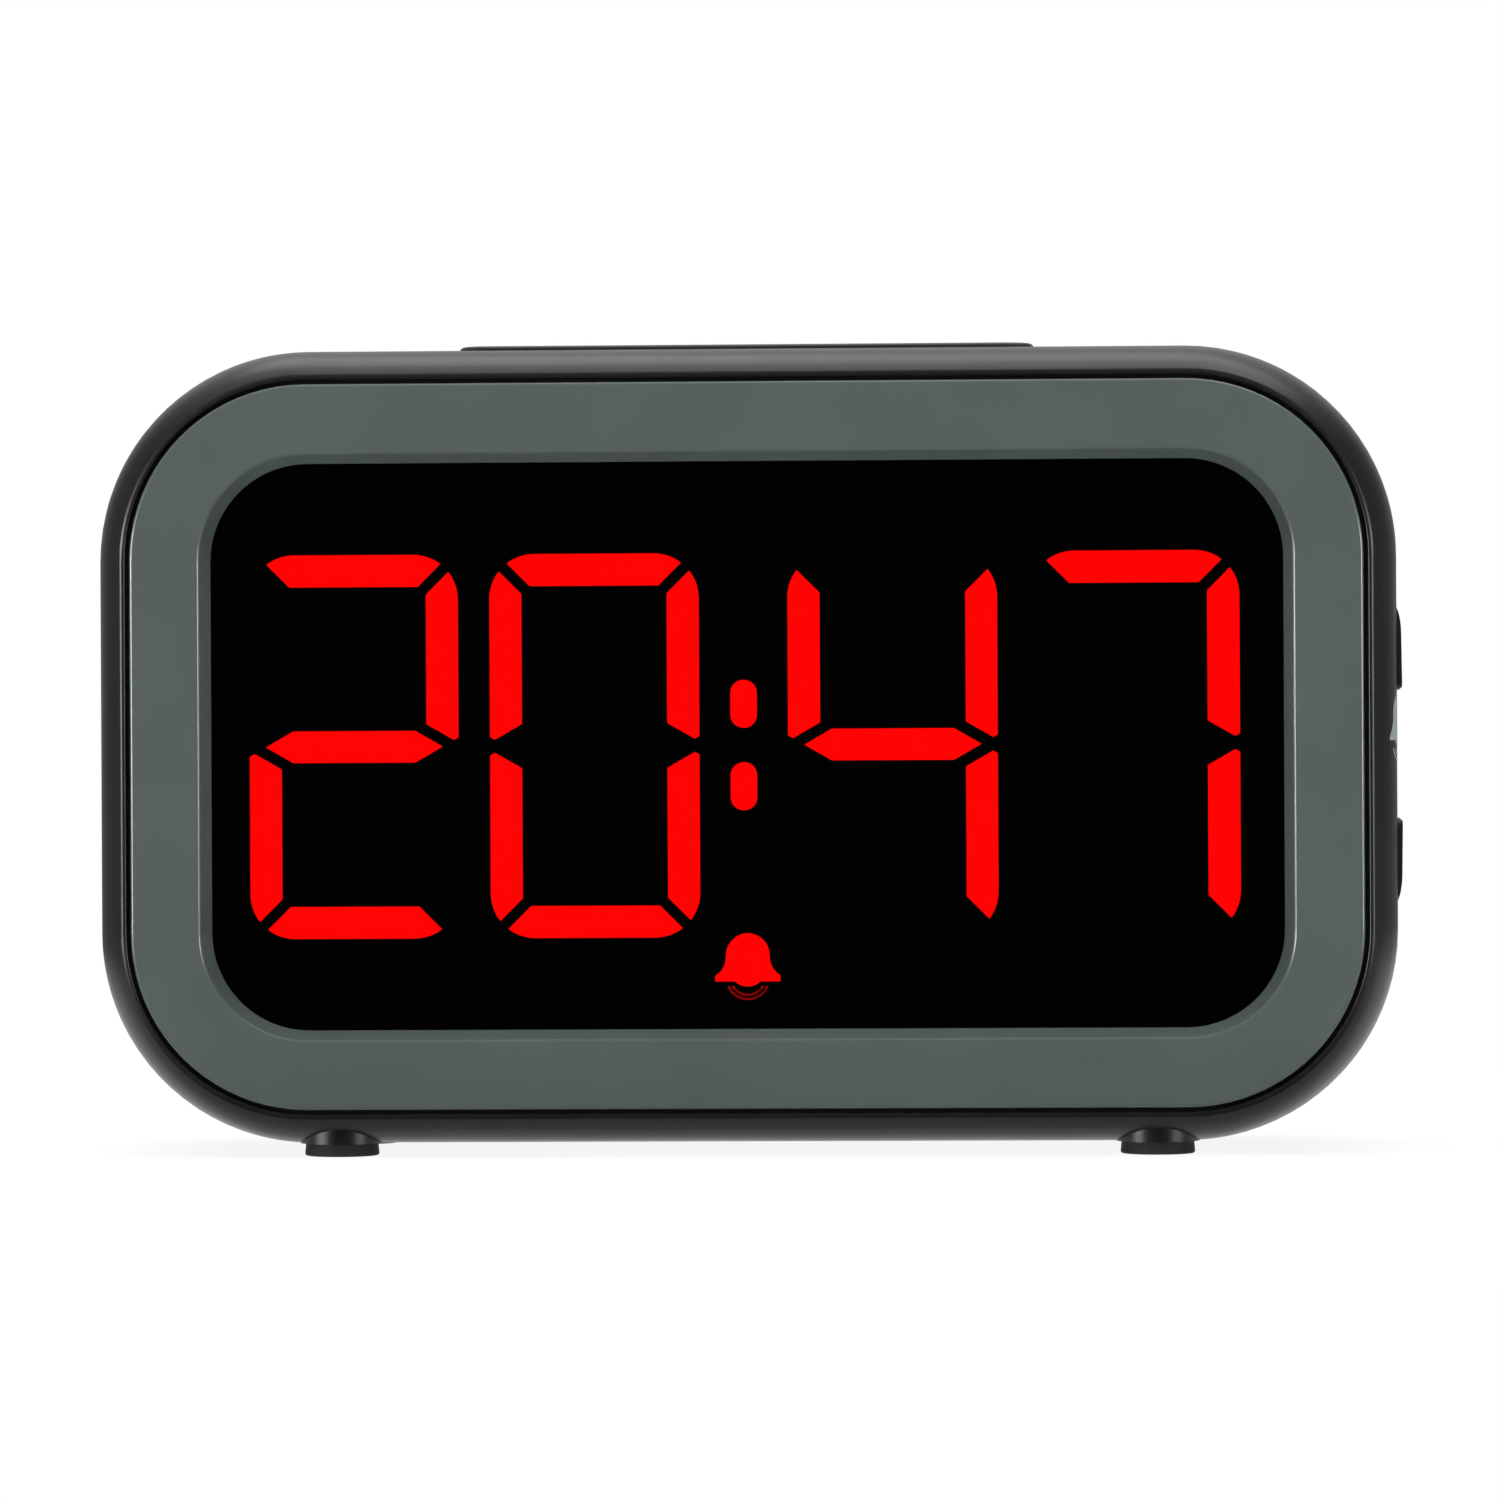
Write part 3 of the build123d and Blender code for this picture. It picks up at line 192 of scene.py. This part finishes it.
# Floor, and the distances between which its shadow fades out
FLOOR_RADIUS = 4.0
FLOOR_SINK = 0.01 * MM
FLOOR_GREY = 0.82
SHADOW_NEAR = 0.1
SHADOW_FAR = 0.24
SHADOW_KEEP = 0.9
DISC_SEGMENTS = 96

# Dome of painted reflections, which only reflections and the window show: painted dark reflection in front,
# painted grey and white reflections round the sides and behind; brightness, heights and widths as shares of
# its radius
PAINTED_REFLECTION_RADIUS = 3.0
PAINTED_DARK_REFLECTION = 0.01
PAINTED_SIDE_GREY = 0.13
PAINTED_BACK_GREY = 0.4
PAINTED_HIGH_WHITE = 0.8
PAINTED_DOME_LOW = 0.02
PAINTED_DOME_HIGH = 0.5
PAINTED_DOME_BLEND = 0.05
PAINTED_DOME_MIDDLE = 0.35
PAINTED_DOME_WIDE = 0.75
DOME_SEGMENTS = 64
DOME_RINGS = 32

# Sheet of painted floor reflection, which only reflections show: painted shade, dark, in front of the
# clock, to warm white from front to back, and grey at its sides
PAINTED_FLOOR_LIFT = 0.2 * MM
PAINTED_FLOOR_DARK_Y = -25.0 * MM
PAINTED_FLOOR_WHITE_Y = -12.0 * MM
PAINTED_FLOOR_MIDDLE_X = 0.03
PAINTED_FLOOR_HALF = 0.15
PAINTED_FLOOR_WIDE = 0.3
PAINTED_FLOOR_WHITE = 1.1
PAINTED_FLOOR_WARM = (1.0, 0.985, 0.94, 1.0)

# Light from all round: an even part, a part from overhead, and a lean to the left and the front
AMBIENT_EVEN = 0.12
AMBIENT_TOP = 5.1
AMBIENT_FOCUS = 5.0
AMBIENT_LEFT = 0.6
AMBIENT_FRONT = 0.8

# Soft boxes: place, width, height, power in watts, and whether they light more than gloss
LAMPS = {
    "top_softbox": ((0.12, 0.22, 1.107), 1.26, 0.54, 4.2, True),
    "left_softbox": ((-0.971, -0.705, 0.12), 0.5, 0.23, 7.4, False),
    "right_softbox": ((0.971, -0.705, 0.12), 0.5, 0.23, 4.2, False),
}


def srgb(red, green, blue):
    """Linear colour of an 8-bit screen colour."""
    channels = [value / CHANNEL_TOP for value in (red, green, blue)]
    linear = [
        channel / STRAIGHT_SLOPE
        if channel <= STRAIGHT_END
        else ((channel + CURVE_OFFSET) / (1 + CURVE_OFFSET)) ** CURVE_POWER
        for channel in channels
    ]
    return (*linear, 1.0)


def shade(colour, factor):
    """A colour made darker or lighter by a factor."""
    return (*[min(1.0, channel * factor) for channel in colour[:3]], 1.0)


# Objects
def link_object(name, data):
    """A new object in the scene."""
    made = bpy.data.objects.new(name, data)
    bpy.context.scene.collection.objects.link(made)
    return made


def mesh_object(name, mesh, material):
    """A new object of one material, from a mesh that is then done with."""
    data = bpy.data.meshes.new(name)
    mesh.to_mesh(data)
    mesh.free()
    data.materials.append(material)
    return link_object(name, data)


def facing(place, target):
    """Turn of a camera or lamp at a place that looks at a target."""
    return (target - place).to_track_quat("-Z", "Y")


# Nodes
def set_inputs(tree, node, inputs):
    """Set each input of a node to a value, or link it to the socket that gives it."""
    for key, value in inputs.items():
        if isinstance(value, bpy.types.NodeSocket):
            tree.links.new(value, node.inputs[key])
        else:
            node.inputs[key].default_value = value


def add_node(tree, kind, inputs, **settings):
    """A node with its settings and inputs."""
    made = tree.nodes.new(kind)
    for key, value in settings.items():
        setattr(made, key, value)
    set_inputs(tree, made, inputs)
    return made


def calculate(tree, operation, *values):
    """Result of one operation on numbers or sockets."""
    return add_node(tree, "ShaderNodeMath", dict(enumerate(values)), operation=operation).outputs["Value"]


def map_range(tree, value, start, end, low, high):
    """A value carried from start and end to low and high, and held there outside them."""
    inputs = {"Value": value, "From Min": start, "From Max": end, "To Min": low, "To Max": high}
    return add_node(tree, "ShaderNodeMapRange", inputs).outputs["Result"]


def coordinates(tree, kind="Object"):
    """Place of each point of a piece, or with kind Generated each direction of the sky."""
    return add_node(tree, "ShaderNodeTexCoord", {}).outputs[kind]


def axes(tree, vector):
    """X, Y and Z of a vector."""
    return add_node(tree, "ShaderNodeSeparateXYZ", {"Vector": vector}).outputs


def noise(tree, size, detail=PATCH_DETAIL):
    """Noise over the piece with features of a given size."""
    inputs = {"Vector": coordinates(tree), "Scale": 1 / size, "Detail": detail}
    return add_node(tree, "ShaderNodeTexNoise", inputs).outputs["Fac"]


def vary_colour(tree, height, colour, spread):
    """Colour that goes a little darker and lighter than the written one with a height."""
    ramp = add_node(tree, "ShaderNodeValToRGB", {"Fac": height})
    for end, position, factor in zip(ramp.color_ramp.elements, PATCH_ENDS, (1 - spread, 1 + spread)):
        end.position = position
        end.color = shade(colour, factor)
    return ramp.outputs["Color"]


def patchy_colour(tree, colour, patches):
    """Colour in soft patches round the written one."""
    size, spread = patches
    return vary_colour(tree, noise(tree, size), colour, spread)


def patchy_roughness(tree, roughness, patches, detail=PATCH_DETAIL):
    """Roughness in soft patches round the written one."""
    size, spread = patches
    return map_range(tree, noise(tree, size, detail), 0.0, 1.0, roughness - spread, roughness + spread)


def bump(tree, height, depth):
    """Fine relief of a given depth."""
    return add_node(tree, "ShaderNodeBump", {"Distance": depth, "Height": height}).outputs["Normal"]


# Materials
def new_material(name):
    """A node material, its tree and its main shader."""
    material = bpy.data.materials.new(name)
    material.use_nodes = True
    tree = material.node_tree
    return material, tree, tree.nodes["Principled BSDF"]


def bare_material(name):
    """A node material with no shader, its tree and its output."""
    material, tree, shader = new_material(name)
    tree.nodes.remove(shader)
    return material, tree, tree.nodes["Material Output"]


def moulded(name, screen_colour, roughness, grain, depth, specular):
    """Moulded plastic: spark-eroded grain, slow changes of tone and of gloss."""
    material, tree, shader = new_material(name)
    surface = {
        "Base Color": patchy_colour(tree, srgb(*screen_colour), PLASTIC_TONE),
        "Roughness": patchy_roughness(tree, roughness, PLASTIC_GLOSS),
        "Normal": bump(tree, noise(tree, grain), depth),
        "Specular IOR Level": specular,
    }
    set_inputs(tree, shader, surface)
    return material


def metal(name, screen_colour, roughness, grain):
    """Plated or drawn metal with fine marks."""
    material, tree, shader = new_material(name)
    surface = {
        "Base Color": patchy_colour(tree, srgb(*screen_colour), METAL_TONE),
        "Roughness": patchy_roughness(tree, roughness, (grain, MARK_SPREAD), MARK_DETAIL),
        "Normal": bump(tree, noise(tree, grain), MARK_DEPTH),
        "Metallic": 1.0,
    }
    set_inputs(tree, shader, surface)
    return material


def smoked_sheet(name):
    """Smoked acrylic with a clean polished face."""
    material, tree, shader = new_material(name)
    surface = {
        "Base Color": patchy_colour(tree, srgb(*WINDOW_SMOKE), WINDOW_TONE),
        "Roughness": patchy_roughness(tree, WINDOW_ROUGHNESS, WINDOW_GLOSS),
        "Transmission Weight": 1.0,
        "IOR": ACRYLIC_IOR,
    }
    set_inputs(tree, shader, surface)
    return material


def lit_resin(name):
    """Red resin that glows a little unevenly, and less in the bell's thin arcs."""
    material, tree, shader = new_material(name)
    arc_z, bell_z = (
        bell_low.z + share * (bell_high.z - bell_low.z) for share in (LIT_ARC_END, LIT_BELL_START)
    )
    level = map_range(tree, axes(tree, coordinates(tree))["Z"], arc_z, bell_z, LIT_ARC_GLOW, 1.0)
    full = patchy_colour(tree, shade(LIT_RED, LIT_GLOW_SHADE), LIT_GLOW)
    glow = add_node(tree, "ShaderNodeVectorMath", {0: full, "Scale": level}, operation="SCALE")
    surface = {
        "Base Color": patchy_colour(tree, shade(LIT_RED, LIT_BASE_SHADE), LIT_TONE),
        "Roughness": patchy_roughness(tree, LIT_ROUGHNESS, LIT_GLOSS),
        "Emission Color": glow.outputs["Vector"],
        "Emission Strength": LIT_STRENGTH,
    }
    set_inputs(tree, shader, surface)
    return material


def circuit_board(name):
    """Green solder mask over paler copper tracks."""
    material, tree, shader = new_material(name)
    pattern = {"Vector": coordinates(tree), "Scale": 1 / TRACK_PITCH}
    tracks = add_node(tree, "ShaderNodeTexVoronoi", pattern, feature="DISTANCE_TO_EDGE").outputs["Distance"]
    ramp = add_node(tree, "ShaderNodeValToRGB", {"Fac": tracks})
    ramp.color_ramp.interpolation = "CONSTANT"
    track, mask = ramp.color_ramp.elements
    track.color = srgb(*TRACK_GREEN)
    mask.color = srgb(*MASK_GREEN)
    mask.position = TRACK_EDGE
    surface = {
        "Base Color": ramp.outputs["Color"],
        "Roughness": patchy_roughness(tree, BOARD_ROUGHNESS, BOARD_GLOSS),
        "Normal": bump(tree, tracks, TRACK_RELIEF),
    }
    set_inputs(tree, shader, surface)
    return material


def flat_wires(name):
    """Grey flat cable whose conductors show as ribs."""
    material, tree, shader = new_material(name)
    pattern = {"Vector": coordinates(tree), "Scale": 1 / WIRE_WAVE, "Distortion": 0.0}
    ribs = add_node(tree, "ShaderNodeTexWave", pattern, bands_direction="X").outputs["Fac"]
    surface = {
        "Base Color": vary_colour(tree, ribs, srgb(*WIRE_GREY), WIRE_SPREAD),
        "Roughness": patchy_roughness(tree, WIRE_ROUGHNESS, WIRE_GLOSS),
        "Normal": bump(tree, ribs, WIRE_RELIEF),
    }
    set_inputs(tree, shader, surface)
    return material


finishes = {
    "smoked_window": smoked_sheet("smoked_window"),
    "segment_lit": lit_resin("segment_lit"),
    "board_green": circuit_board("board_green"),
    "cable_grey": flat_wires("cable_grey"),
    **{name: moulded(name, *values) for name, values in PLASTICS.items()},
    **{name: metal(name, *values) for name, values in METALS.items()},
}

for row in frame["record"]["subparts"]:
    node = nodes[row["node"]]
    for slot in node.material_slots:
        slot.link = "OBJECT"
        slot.material = finishes[row["material_slot"]]
    # The lit segments are hidden from diffuse and glossy rays, so their red light falls on nothing round
    # them and shows in no gloss
    if row["material_slot"] == "segment_lit":
        node.visible_diffuse = False
        node.visible_glossy = False


# Printed bell on the right side, bent over the rounded edge
def on_side(along, up):
    """Point just over the right side: along runs back from the crest, up from the print's base."""
    z = centre_z + PRINT_RISE + up
    if along >= 0:
        return Vector((side_x + PRINT_LIFT, CREST_Y + along, z))
    turn = -along / FRONT_ROUND
    reach = FRONT_ROUND + PRINT_LIFT
    return Vector((side_x - FRONT_ROUND + reach * cos(turn), CREST_Y - reach * sin(turn), z))


def bell_half(up):
    """Half width of the bell at a height over its base."""
    if up > BELL_SHOULDER:
        share = (up - BELL_SHOULDER) / (BELL_TOP - BELL_SHOULDER)
        return BELL_WAIST * max(0.0, 1 - share**BELL_CROWN) ** (1 / BELL_CROWN)
    if up > BELL_FLARE:
        return BELL_WAIST
    if up > BELL_RIM:
        share = (BELL_FLARE - up) / (BELL_FLARE - BELL_RIM)
        return BELL_WAIST + (BELL_HALF - BELL_WAIST) * share**2
    if up >= 0:
        return BELL_HALF
    return CLAPPER_HALF * sqrt(max(0.0, 1 - (up / CLAPPER_DROP) ** 2))


def strip(mesh, rows):
    """Quads between rows of points of equal length."""
    made = [[mesh.verts.new(point) for point in row] for row in rows]
    for lower, upper in zip(made, made[1:]):
        for a, b, c, d in zip(lower, lower[1:], upper[1:], upper):
            mesh.faces.new((a, b, c, d))


def bell_rows(low, high):
    """Rows of the bell's face between two heights."""
    rows = []
    for step in range(PRINT_ROWS + 1):
        up = low + (high - low) * step / PRINT_ROWS
        half = bell_half(up)
        spread = [half * (2 * column / PRINT_COLUMNS - 1) for column in range(PRINT_COLUMNS + 1)]
        rows.append([on_side(PRINT_SET + across, up) for across in spread])
    return rows


def arc_rows(half, sag):
    """Rows of one sound arc under the bell."""
    radius = (half**2 + sag**2) / (2 * sag)
    centre = radius - ARC_DROP - sag
    reach = asin(half / radius)
    rows = []
    for edge in (radius + ARC_LINE / 2, radius - ARC_LINE / 2):
        angles = [reach * (2 * step / ARC_STEPS - 1) for step in range(ARC_STEPS + 1)]
        rows.append([on_side(PRINT_SET + edge * sin(a), centre - edge * cos(a)) for a in angles])
    return rows


bell = bmesh.new()
strip(bell, bell_rows(-CLAPPER_DROP, -PRINT_JOIN))
bell_heights = (0, BELL_RIM, BELL_FLARE, BELL_SHOULDER, BELL_TOP)
for lower, upper in zip(bell_heights, bell_heights[1:]):
    strip(bell, bell_rows(lower, upper))
for half, sag in (INNER_ARC, OUTER_ARC):
    strip(bell, arc_rows(half, sag))
bmesh.ops.remove_doubles(bell, verts=bell.verts, dist=PRINT_JOIN)
side_bell = mesh_object("side_bell_print", bell, finishes["print_ink"])
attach(side_bell, "case")

# Camera
target = Vector((VIEW_OFFSET_X, face_y, centre_z + VIEW_OFFSET_Z))
camera = link_object("camera", bpy.data.cameras.new("camera"))
camera.data.sensor_width = SENSOR_WIDTH
camera.data.lens = SENSOR_WIDTH * CAMERA_DISTANCE / (IMAGE_SIDE * PIXEL)
camera.data.clip_start = CAMERA_NEAR
camera.location = target + CAMERA_DISTANCE * Vector((sin(CAMERA_AZIMUTH), -cos(CAMERA_AZIMUTH), 0))
look = facing(camera.location, target).to_matrix()
camera.rotation_euler = (look @ Matrix.Rotation(CAMERA_ROLL, 3, "Z")).to_euler()
bpy.context.scene.camera = camera


# Floor
def seen_directly(tree):
    """1 for rays that show the background: camera, glossy and transmission rays."""
    path = add_node(tree, "ShaderNodeLightPath", {}).outputs
    seen_or_mirrored = calculate(tree, "MAXIMUM", path["Is Camera Ray"], path["Is Glossy Ray"])
    return calculate(tree, "MAXIMUM", seen_or_mirrored, path["Is Transmission Ray"])


def floor_material():
    """White floor that keeps a soft shadow near the clock and is plain white further out."""
    material, tree, output = bare_material("floor_white")
    paint = add_node(tree, "ShaderNodeBsdfDiffuse", {"Color": (FLOOR_GREY, FLOOR_GREY, FLOOR_GREY, 1.0)})
    white = add_node(tree, "ShaderNodeEmission", {"Strength": 1.0})
    distance = add_node(tree, "ShaderNodeVectorMath", {0: coordinates(tree)}, operation="LENGTH")
    fade = map_range(tree, distance.outputs["Value"], SHADOW_NEAR, SHADOW_FAR, SHADOW_KEEP, 1.0)
    share = calculate(tree, "MULTIPLY", fade, seen_directly(tree))
    parts = {"Fac": share, 1: paint.outputs["BSDF"], 2: white.outputs["Emission"]}
    mix = add_node(tree, "ShaderNodeMixShader", parts)
    set_inputs(tree, output, {"Surface": mix.outputs["Shader"]})
    return material


disc = bmesh.new()
bmesh.ops.create_circle(disc, cap_ends=True, segments=DISC_SEGMENTS, radius=FLOOR_RADIUS)
floor = mesh_object("floor", disc, floor_material())
floor.location.z = cad_low.z - FLOOR_SINK


# Painted reflections: a dome round the clock, and a sheet on the floor under it
def dome_reflection_paint():
    """Painted reflections: dark in front of the clock, grey low round its sides and back, and a painted
    highlight, white, high behind it.
    """
    material, tree, output = bare_material("painted_reflection_dome")
    unit = add_node(tree, "ShaderNodeVectorMath", {0: coordinates(tree)}, operation="NORMALIZE")
    place = axes(tree, unit.outputs["Vector"])
    aside = calculate(tree, "ABSOLUTE", place["X"])
    grey = map_range(tree, place["Y"], 0.0, 1.0, PAINTED_SIDE_GREY, PAINTED_BACK_GREY)
    white = map_range(tree, aside, PAINTED_DOME_MIDDLE, PAINTED_DOME_WIDE, PAINTED_HIGH_WHITE, PAINTED_SIDE_GREY)
    behind = map_range(tree, place["Z"], PAINTED_DOME_LOW, PAINTED_DOME_HIGH, grey, white)
    strength = map_range(tree, place["Y"], -PAINTED_DOME_BLEND, PAINTED_DOME_BLEND, PAINTED_DARK_REFLECTION, behind)
    glow = add_node(tree, "ShaderNodeEmission", {"Strength": strength})
    set_inputs(tree, output, {"Surface": glow.outputs["Emission"]})
    return material


def floor_reflection_paint():
    """Painted reflection of the floor: painted shade, dark, in front of the clock, grey at its sides, warm
    white under and behind it.
    """
    material, tree, output = bare_material("painted_floor_reflection")
    place = axes(tree, coordinates(tree))
    aside = calculate(tree, "ABSOLUTE", calculate(tree, "SUBTRACT", place["X"], PAINTED_FLOOR_MIDDLE_X))
    behind = map_range(tree, aside, PAINTED_FLOOR_HALF, PAINTED_FLOOR_WIDE, PAINTED_FLOOR_WHITE, PAINTED_SIDE_GREY)
    strength = map_range(tree, place["Y"], PAINTED_FLOOR_DARK_Y, PAINTED_FLOOR_WHITE_Y, PAINTED_DARK_REFLECTION, behind)
    glow = add_node(tree, "ShaderNodeEmission", {"Color": PAINTED_FLOOR_WARM, "Strength": strength})
    set_inputs(tree, output, {"Surface": glow.outputs["Emission"]})
    return material


def add_painted_reflection(name, mesh, material):
    """A piece of painted reflection: only reflections and the window show it, and it casts no shadow."""
    flag = mesh_object(name, mesh, material)
    flag.visible_camera = False
    flag.visible_diffuse = False
    flag.visible_shadow = False


# Dome of painted reflections over the floor
dome = bmesh.new()
bmesh.ops.create_uvsphere(dome, u_segments=DOME_SEGMENTS, v_segments=DOME_RINGS, radius=PAINTED_REFLECTION_RADIUS)
under = [vertex for vertex in dome.verts if vertex.co.z < -PAINTED_FLOOR_LIFT]
bmesh.ops.delete(dome, geom=under, context="VERTS")
add_painted_reflection("painted_reflection_dome", dome, dome_reflection_paint())

# Sheet of painted floor reflection, with painted shade in front of the clock
sheet = bmesh.new()
bmesh.ops.create_circle(sheet, cap_ends=True, segments=DISC_SEGMENTS, radius=PAINTED_REFLECTION_RADIUS)
bmesh.ops.translate(sheet, verts=sheet.verts, vec=(0, 0, PAINTED_FLOOR_LIFT))
add_painted_reflection("painted_floor_reflection", sheet, floor_reflection_paint())


# World and lamps
def studio_world():
    """Light from all round that shows as plain white where it is seen directly."""
    world = bpy.data.worlds.new("studio")
    world.use_nodes = True
    tree = world.node_tree
    aim = axes(tree, coordinates(tree, "Generated"))
    overhead = calculate(tree, "POWER", calculate(tree, "MAXIMUM", aim["Z"], 0.0), AMBIENT_FOCUS)
    soft = calculate(tree, "MULTIPLY_ADD", overhead, AMBIENT_TOP, AMBIENT_EVEN)
    aside = calculate(tree, "MULTIPLY_ADD", aim["X"], -AMBIENT_LEFT, 1.0)
    lean = calculate(tree, "MULTIPLY_ADD", aim["Y"], -AMBIENT_FRONT, aside)
    around = calculate(tree, "MULTIPLY", soft, lean)
    strength = map_range(tree, seen_directly(tree), 0.0, 1.0, around, 1.0)
    set_inputs(tree, tree.nodes["Background"], {"Color": WHITE, "Strength": strength})
    return world


bpy.context.scene.world = studio_world()

for name, (place, width, height, power, lights_all) in LAMPS.items():
    lamp = bpy.data.lights.new(name, "AREA")
    lamp.shape = "RECTANGLE"
    lamp.size = width
    lamp.size_y = height
    lamp.energy = power
    box = link_object(name, lamp)
    box.location = place
    box.rotation_euler = facing(box.location, Vector((0, 0, centre_z))).to_euler()
    box.visible_diffuse = lights_all
    box.visible_transmission = lights_all

bpy.context.scene.view_settings.view_transform = "Standard"
